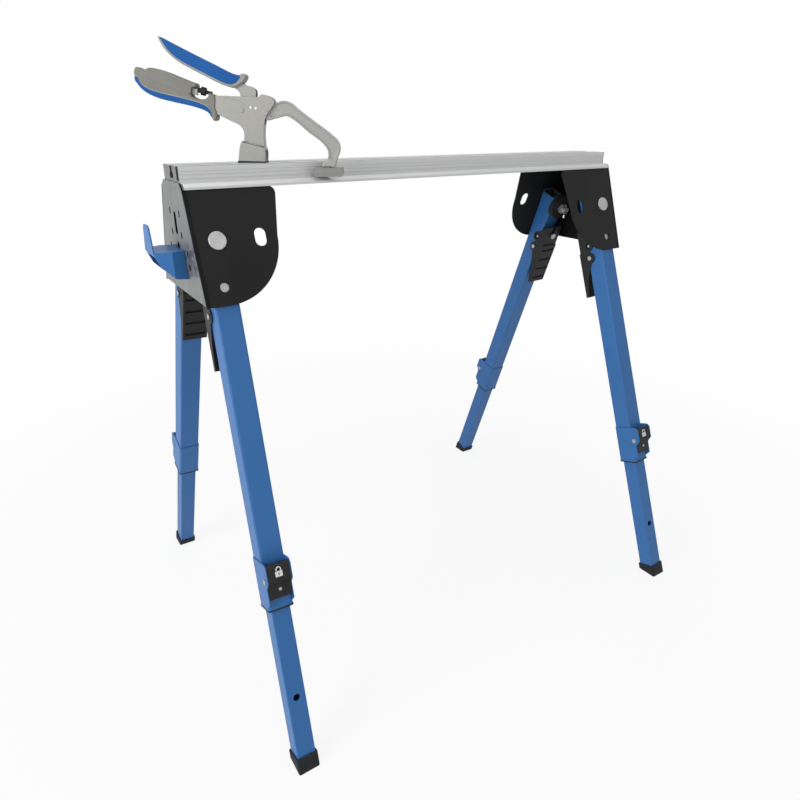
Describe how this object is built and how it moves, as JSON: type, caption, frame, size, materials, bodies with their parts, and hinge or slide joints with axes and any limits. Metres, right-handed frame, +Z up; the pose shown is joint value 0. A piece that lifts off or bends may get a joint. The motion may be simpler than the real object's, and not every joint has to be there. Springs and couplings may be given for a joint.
{
  "type": "folding workbench",
  "caption": "Folding workbench: an aluminium T-slot rail on splayed telescopic tube legs that fold flat under it, with a hook-on work support and a quick-acting bench clamp.",
  "frame": {"origin": "on the floor, at the centre of the overall box", "axes": "+X along the rail, from the work support's end to the other end; +Y to the back; +Z up"},
  "size_m": [0.8161, 0.6214, 0.9048],
  "materials": {
    "rail_aluminium": "satin extrusion",
    "galvanised": "galvanised sheet",
    "black_paint": "satin black powder coat",
    "blue_paint": "satin blue powder coat",
    "bright_steel": "zinc plated",
    "black_plastic": "fine grain",
    "rubber": "matt",
    "clamp_steel": "satin nickel",
    "grip_blue": "soft touch",
    "grip_grey": "soft touch"
  },
  "bodies": {
    "frame": {"rail": "rail_aluminium", "left_end_plate": "galvanised", "right_end_plate": "galvanised", "leg_pivot_bolts": "bright_steel", "leg_pivot_spacers": "black_plastic", "left_front_side_plate": "black_paint", "left_back_side_plate": "black_paint", "right_front_side_plate": "black_paint", "right_back_side_plate": "black_paint"},
    "left_front_leg": {"left_front_upper_tube": "blue_paint", "left_front_collar": "blue_paint", "left_front_rivets": "bright_steel"},
    "left_front_guide": {"left_front_guide_sleeve": "black_plastic"},
    "left_front_extension": {"left_front_lower_tube": "blue_paint", "left_front_foot": "rubber"},
    "left_front_latch": {"left_front_height_latch": "black_plastic", "left_front_height_pin": "bright_steel"},
    "left_front_lever": {"left_front_release_lever": "black_plastic"},
    "left_front_lock": {"left_front_lock_pin": "bright_steel"},
    "left_back_leg": {"left_back_upper_tube": "blue_paint", "left_back_collar": "blue_paint", "left_back_rivets": "bright_steel"},
    "left_back_guide": {"left_back_guide_sleeve": "black_plastic"},
    "left_back_extension": {"left_back_lower_tube": "blue_paint", "left_back_foot": "rubber"},
    "left_back_latch": {"left_back_height_latch": "black_plastic", "left_back_height_pin": "bright_steel"},
    "left_back_lever": {"left_back_release_lever": "black_plastic"},
    "left_back_lock": {"left_back_lock_pin": "bright_steel"},
    "right_front_leg": {"right_front_upper_tube": "blue_paint", "right_front_collar": "blue_paint", "right_front_rivets": "bright_steel"},
    "right_front_guide": {"right_front_guide_sleeve": "black_plastic"},
    "right_front_extension": {"right_front_lower_tube": "blue_paint", "right_front_foot": "rubber"},
    "right_front_latch": {"right_front_height_latch": "black_plastic", "right_front_height_pin": "bright_steel"},
    "right_front_lever": {"right_front_release_lever": "black_plastic"},
    "right_front_lock": {"right_front_lock_pin": "bright_steel"},
    "right_back_leg": {"right_back_upper_tube": "blue_paint", "right_back_collar": "blue_paint", "right_back_rivets": "bright_steel"},
    "right_back_guide": {"right_back_guide_sleeve": "black_plastic"},
    "right_back_extension": {"right_back_lower_tube": "blue_paint", "right_back_foot": "rubber"},
    "right_back_latch": {"right_back_height_latch": "black_plastic", "right_back_height_pin": "bright_steel"},
    "right_back_lever": {"right_back_release_lever": "black_plastic"},
    "right_back_lock": {"right_back_lock_pin": "bright_steel"},
    "support": {"work_support": "blue_paint"},
    "clamp_carrier": {"clamp_button": "bright_steel"},
    "clamp_frame": {"clamp_base": "clamp_steel", "clamp_body": "clamp_steel", "clamp_pins": "bright_steel", "clamp_lower_grip": "grip_grey"},
    "clamp_handle": {"clamp_lever": "clamp_steel", "clamp_upper_grip": "grip_blue"},
    "clamp_arm": {"clamp_arm": "clamp_steel"},
    "clamp_foot": {"clamp_pad": "clamp_steel"},
    "clamp_screw": {"clamp_thumb_screw": "bright_steel"}
  },
  "joints": [
    {"name": "left_front_fold", "type": "hinge", "parent": "frame", "child": "left_front_leg", "pos_m": [-0.33937, -0.05082, 0.66809], "axis": [0, -0.9397, 0.342], "range_deg": [0, 95]},
    {"name": "left_front_stow", "type": "slide", "parent": "left_front_leg", "child": "left_front_guide", "axis": [0.0349, 0.3418, 0.9391], "range_m": [0, 0.048]},
    {"name": "left_front_height", "type": "slide", "parent": "left_front_guide", "child": "left_front_extension", "axis": [0.0349, 0.3418, 0.9391], "range_m": [0, 0.159]},
    {"name": "left_front_height_latch", "type": "hinge", "parent": "left_front_leg", "child": "left_front_latch", "pos_m": [-0.35465, -0.22139, 0.26435], "axis": [-0.9994, 0.0119, 0.0328], "range_deg": [0, 18], "stiffness_Nm_per_rad": 0.5, "springref_deg": -11.46},
    {"name": "left_front_release", "type": "hinge", "parent": "left_front_leg", "child": "left_front_lever", "pos_m": [-0.34247, -0.07165, 0.58102], "axis": [-0.9994, 0.0119, 0.0328], "range_deg": [0, 7.5]},
    {"name": "left_front_lock", "type": "slide", "parent": "left_front_leg", "child": "left_front_lock", "axis": [0, 0.9397, -0.342], "range_m": [0, 0.00414], "stiffness_N_per_m": 700, "springref_m": -0.012},
    {"name": "left_back_fold", "type": "hinge", "parent": "frame", "child": "left_back_leg", "pos_m": [-0.33937, 0.05082, 0.66809], "axis": [0, -0.9397, -0.342], "range_deg": [0, 95]},
    {"name": "left_back_stow", "type": "slide", "parent": "left_back_leg", "child": "left_back_guide", "axis": [0.0349, -0.3418, 0.9391], "range_m": [0, 0.048]},
    {"name": "left_back_height", "type": "slide", "parent": "left_back_guide", "child": "left_back_extension", "axis": [0.0349, -0.3418, 0.9391], "range_m": [0, 0.159]},
    {"name": "left_back_height_latch", "type": "hinge", "parent": "left_back_leg", "child": "left_back_latch", "pos_m": [-0.35465, 0.22139, 0.26435], "axis": [0.9994, 0.0119, -0.0328], "range_deg": [0, 18], "stiffness_Nm_per_rad": 0.5, "springref_deg": -11.46},
    {"name": "left_back_release", "type": "hinge", "parent": "left_back_leg", "child": "left_back_lever", "pos_m": [-0.34247, 0.07165, 0.58102], "axis": [0.9994, 0.0119, -0.0328], "range_deg": [0, 7.5]},
    {"name": "left_back_lock", "type": "slide", "parent": "left_back_leg", "child": "left_back_lock", "axis": [0, -0.9397, -0.342], "range_m": [0, 0.00414], "stiffness_N_per_m": 700, "springref_m": -0.012},
    {"name": "right_front_fold", "type": "hinge", "parent": "frame", "child": "right_front_leg", "pos_m": [0.36743, -0.05082, 0.66809], "axis": [0, 0.9397, -0.342], "range_deg": [0, 89]},
    {"name": "right_front_stow", "type": "slide", "parent": "right_front_leg", "child": "right_front_guide", "axis": [-0.0349, 0.3418, 0.9391], "range_m": [0, 0.0449]},
    {"name": "right_front_height", "type": "slide", "parent": "right_front_guide", "child": "right_front_extension", "axis": [-0.0349, 0.3418, 0.9391], "range_m": [0, 0.159]},
    {"name": "right_front_height_latch", "type": "hinge", "parent": "right_front_leg", "child": "right_front_latch", "pos_m": [0.38272, -0.22139, 0.26435], "axis": [-0.9994, -0.0119, -0.0328], "range_deg": [0, 18], "stiffness_Nm_per_rad": 0.5, "springref_deg": -11.46},
    {"name": "right_front_release", "type": "hinge", "parent": "right_front_leg", "child": "right_front_lever", "pos_m": [0.37054, -0.07165, 0.58102], "axis": [-0.9994, -0.0119, -0.0328], "range_deg": [0, 7.5]},
    {"name": "right_front_lock", "type": "slide", "parent": "right_front_leg", "child": "right_front_lock", "axis": [0, 0.9397, -0.342], "range_m": [0, 0.00414], "stiffness_N_per_m": 700, "springref_m": -0.012},
    {"name": "right_back_fold", "type": "hinge", "parent": "frame", "child": "right_back_leg", "pos_m": [0.36743, 0.05082, 0.66809], "axis": [0, 0.9397, 0.342], "range_deg": [0, 89]},
    {"name": "right_back_stow", "type": "slide", "parent": "right_back_leg", "child": "right_back_guide", "axis": [-0.0349, -0.3418, 0.9391], "range_m": [0, 0.0449]},
    {"name": "right_back_height", "type": "slide", "parent": "right_back_guide", "child": "right_back_extension", "axis": [-0.0349, -0.3418, 0.9391], "range_m": [0, 0.159]},
    {"name": "right_back_height_latch", "type": "hinge", "parent": "right_back_leg", "child": "right_back_latch", "pos_m": [0.38272, 0.22139, 0.26435], "axis": [0.9994, -0.0119, 0.0328], "range_deg": [0, 18], "stiffness_Nm_per_rad": 0.5, "springref_deg": -11.46},
    {"name": "right_back_release", "type": "hinge", "parent": "right_back_leg", "child": "right_back_lever", "pos_m": [0.37054, 0.07165, 0.58102], "axis": [0.9994, -0.0119, 0.0328], "range_deg": [0, 7.5]},
    {"name": "right_back_lock", "type": "slide", "parent": "right_back_leg", "child": "right_back_lock", "axis": [0, -0.9397, -0.342], "range_m": [0, 0.00414], "stiffness_N_per_m": 700, "springref_m": -0.012},
    {"name": "work_support_lift", "type": "slide", "parent": "frame", "child": "support", "axis": [0, 0, 1], "range_m": [0, 0.016]},
    {"name": "clamp_slide", "type": "slide", "parent": "frame", "child": "clamp_carrier", "axis": [1, 0, 0], "range_m": [-0.06, 0.6]},
    {"name": "clamp_swivel", "type": "hinge", "parent": "clamp_carrier", "child": "clamp_frame", "pos_m": [-0.25747, 0, 0.76], "axis": [0, 0, -1], "range_deg": [0, 60]},
    {"name": "clamp_handle", "type": "hinge", "parent": "clamp_frame", "child": "clamp_handle", "pos_m": [-0.26466, 0.00449, 0.82302], "axis": [0.5299, 0.848, 0], "range_deg": [0, 25]},
    {"name": "clamp_arm", "type": "hinge", "parent": "clamp_frame", "child": "clamp_arm", "pos_m": [-0.23884, -0.01164, 0.82], "axis": [0.5299, 0.848, 0], "range_deg": [-25.1, 0.1]},
    {"name": "clamp_pad", "type": "hinge", "parent": "clamp_arm", "child": "clamp_foot", "pos_m": [-0.17227, -0.05324, 0.751], "axis": [0.5299, 0.848, 0], "range_deg": [-3.5, 3.5]},
    {"name": "clamp_thumb_screw", "type": "hinge", "parent": "clamp_frame", "child": "clamp_screw", "pos_m": [-0.30657, 0.03068, 0.84504], "axis": [0.8214, -0.5133, -0.2487], "continuous": true}
  ],
  "couplings": [
    {"joint": "left_front_stow", "follows": "left_front_fold", "m_per_rad": 0.0288},
    {"joint": "left_front_release", "follows": "left_front_lock", "rad_per_m": 31.546},
    {"joint": "left_back_stow", "follows": "left_back_fold", "m_per_rad": 0.0288},
    {"joint": "left_back_release", "follows": "left_back_lock", "rad_per_m": 31.546},
    {"joint": "right_front_stow", "follows": "right_front_fold", "m_per_rad": 0.0288},
    {"joint": "right_front_release", "follows": "right_front_lock", "rad_per_m": 31.546},
    {"joint": "right_back_stow", "follows": "right_back_fold", "m_per_rad": 0.0288},
    {"joint": "right_back_release", "follows": "right_back_lock", "rad_per_m": 31.546},
    {"joint": "clamp_arm", "follows": "clamp_handle", "ratio": -1}
  ]
}
